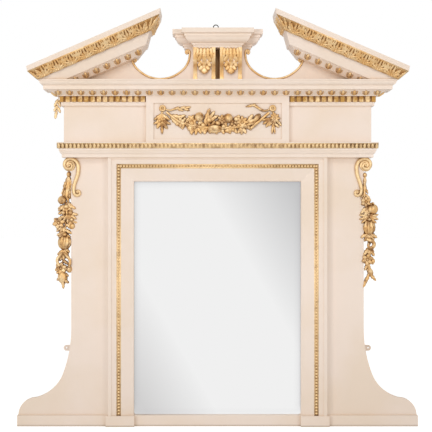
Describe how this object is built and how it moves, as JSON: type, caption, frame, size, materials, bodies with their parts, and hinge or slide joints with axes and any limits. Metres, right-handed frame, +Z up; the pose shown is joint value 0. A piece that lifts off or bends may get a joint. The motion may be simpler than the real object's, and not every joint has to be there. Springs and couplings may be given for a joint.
{
  "type": "overmantel mirror",
  "caption": "Tall painted and parcel-gilt overmantel mirror with a broken pediment, carved frieze tablet, moulded frame, flared wings and a swinging hanging ring.",
  "frame": {"origin": "middle of the bounding box's bottom face, on the mantel shelf under the plinth", "axes": "+X to the viewer's right, +Y to the wall behind, +Z up"},
  "size_m": [1.612, 0.208, 1.6578],
  "materials": {
    "cream_paint": "aged cream oil paint on carved pine, satin, with rubbed edges",
    "gilding": "worn gold leaf over gesso and ochre on carved wood",
    "bare_pine": "unfinished, darkened by age",
    "looking_glass": "flat silvered plate, polished",
    "brass": "dull, old",
    "steel": "plain, slightly dark"
  },
  "bodies": {
    "frame": {"plinth_left": "cream_paint", "plinth_right": "cream_paint", "plinth_block_left": "cream_paint", "plinth_block_right": "cream_paint", "plinth_centre": "cream_paint", "back_stiles": "bare_pine", "back_rail": "bare_pine", "wing_battens": "bare_pine", "wing_left": "cream_paint", "wing_right": "cream_paint", "frame_coves": "cream_paint", "frame_stile_left": "cream_paint", "frame_stile_right": "cream_paint", "frame_head": "cream_paint", "bead_strip_left": "gilding", "bead_strip_right": "gilding", "bead_strip_top": "gilding", "mirror_plate": "looking_glass", "glazing_blocks": "bare_pine", "mirror_backboard": "bare_pine", "backboard_screws": "steel", "lower_cornice": "cream_paint", "lower_leaf_strip": "gilding", "frieze_board": "cream_paint", "frieze_ends": "cream_paint", "frieze_rail": "bare_pine", "frieze_tablet": "cream_paint", "tablet_swag": "gilding", "tablet_rosettes": "gilding", "tablet_drops": "gilding", "tablet_ribbons": "gilding", "frieze_fillets": "cream_paint", "dentil_course_left": "gilding", "dentil_course_right": "gilding", "egg_bed": "cream_paint", "cornice_eggs": "gilding", "upper_corona": "cream_paint", "raking_cornice_left": "cream_paint", "raking_cornice_right": "cream_paint", "raking_leaf_left": "gilding", "raking_leaf_right": "gilding", "raking_eggs": "gilding", "tympanum_left": "cream_paint", "tympanum_right": "cream_paint", "scoop_edges": "gilding", "pedestal_backing": "bare_pine", "console_left": "cream_paint", "console_right": "cream_paint", "console_gilding": "gilding", "console_leaves": "gilding", "pedestal_cap": "cream_paint", "wing_scrolls": "gilding", "garland_left": "gilding", "garland_right": "gilding", "leaf_spray": "gilding", "wall_lugs": "cream_paint", "hanger_strap": "brass", "hanger_screws": "steel"},
    "ring": {"hanger_ring": "brass"}
  },
  "joints": [
    {"name": "ring_swing", "type": "hinge", "parent": "frame", "child": "ring", "pos_m": [-0.006, 0.0965, 1.602], "axis": [-1, 0, 0], "range_deg": [0, 180]}
  ]
}
